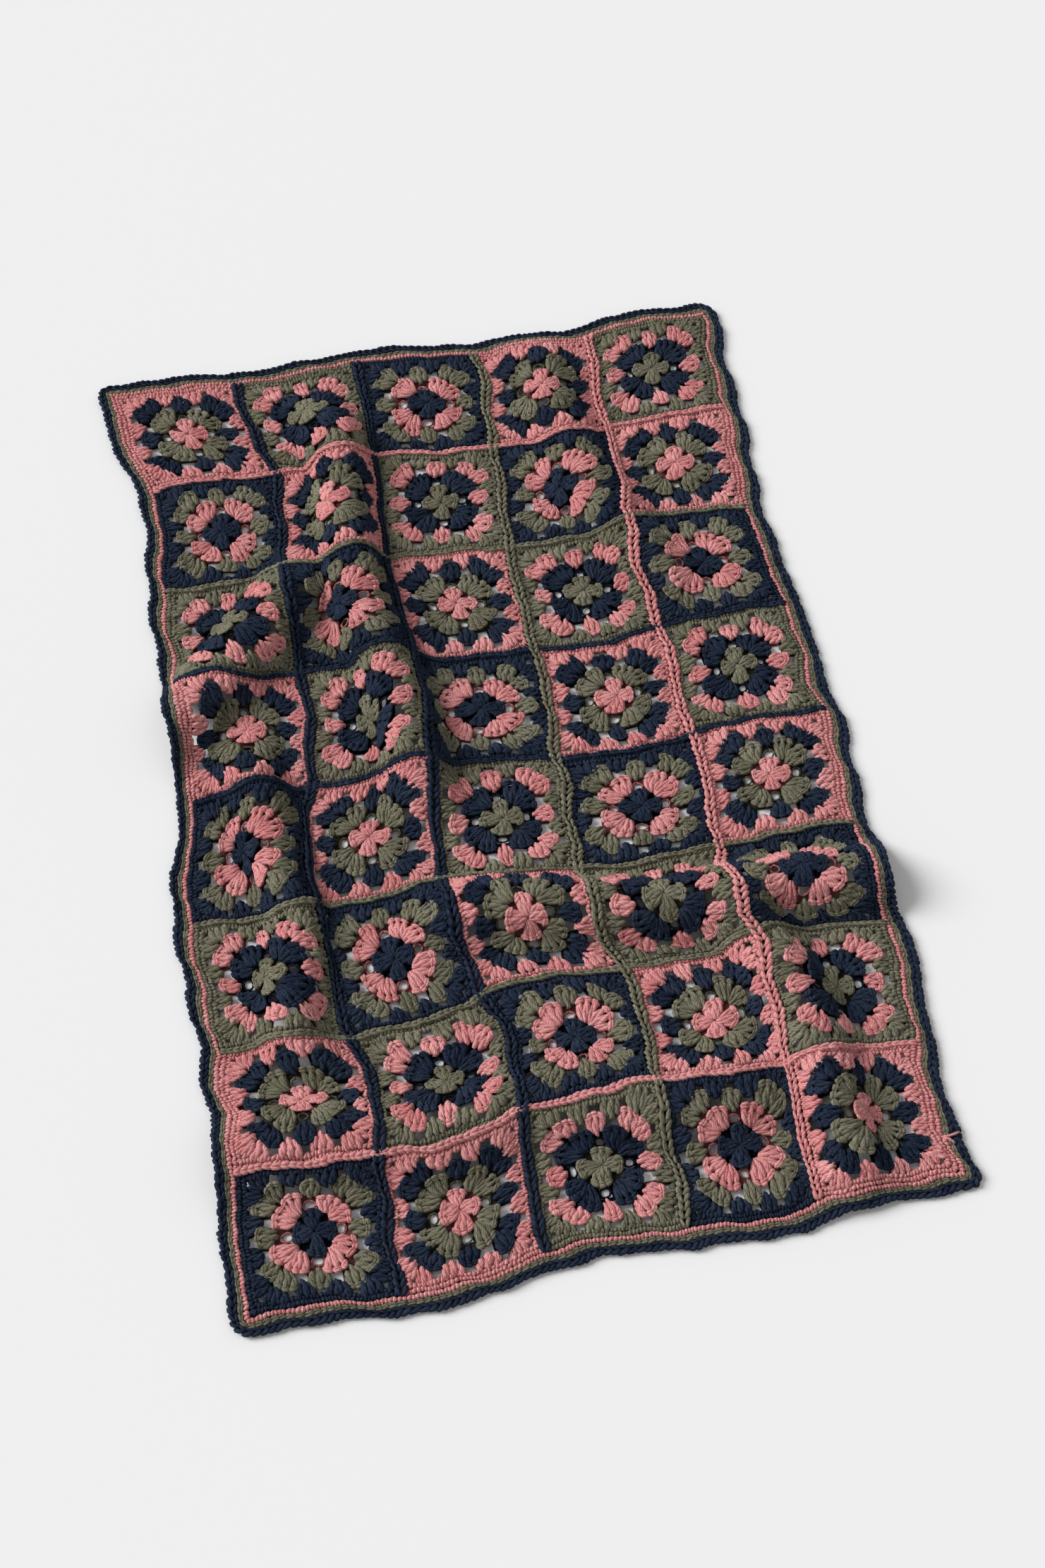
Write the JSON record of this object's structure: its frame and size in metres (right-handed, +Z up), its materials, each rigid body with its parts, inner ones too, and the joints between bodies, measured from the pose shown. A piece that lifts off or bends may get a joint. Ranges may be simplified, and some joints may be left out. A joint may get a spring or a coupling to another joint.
{
  "type": "granny square blanket",
  "caption": "Crocheted wool blanket of joined square motifs with open gaps, raised chain joins and a striped crocheted border, laid out in soft folds.",
  "frame": {"origin": "middle of the laid blanket's outline, on the surface it lies on", "axes": "+Z up, +Y along its length away from the front edge, +X to the right seen from the front edge"},
  "size_m": [0.888, 1.399, 0.0621],
  "materials": {
    "square_yarn": "matt heathered chunky wool in pink, olive and navy",
    "pink_yarn": "matt heathered chunky wool",
    "olive_yarn": "matt heathered chunky wool",
    "navy_yarn": "matt heathered chunky wool"
  },
  "bodies": {
    "root": {"granny_squares": "square_yarn", "border_pink": "pink_yarn", "border_olive": "olive_yarn", "border_navy": "navy_yarn"}
  },
  "joints": []
}
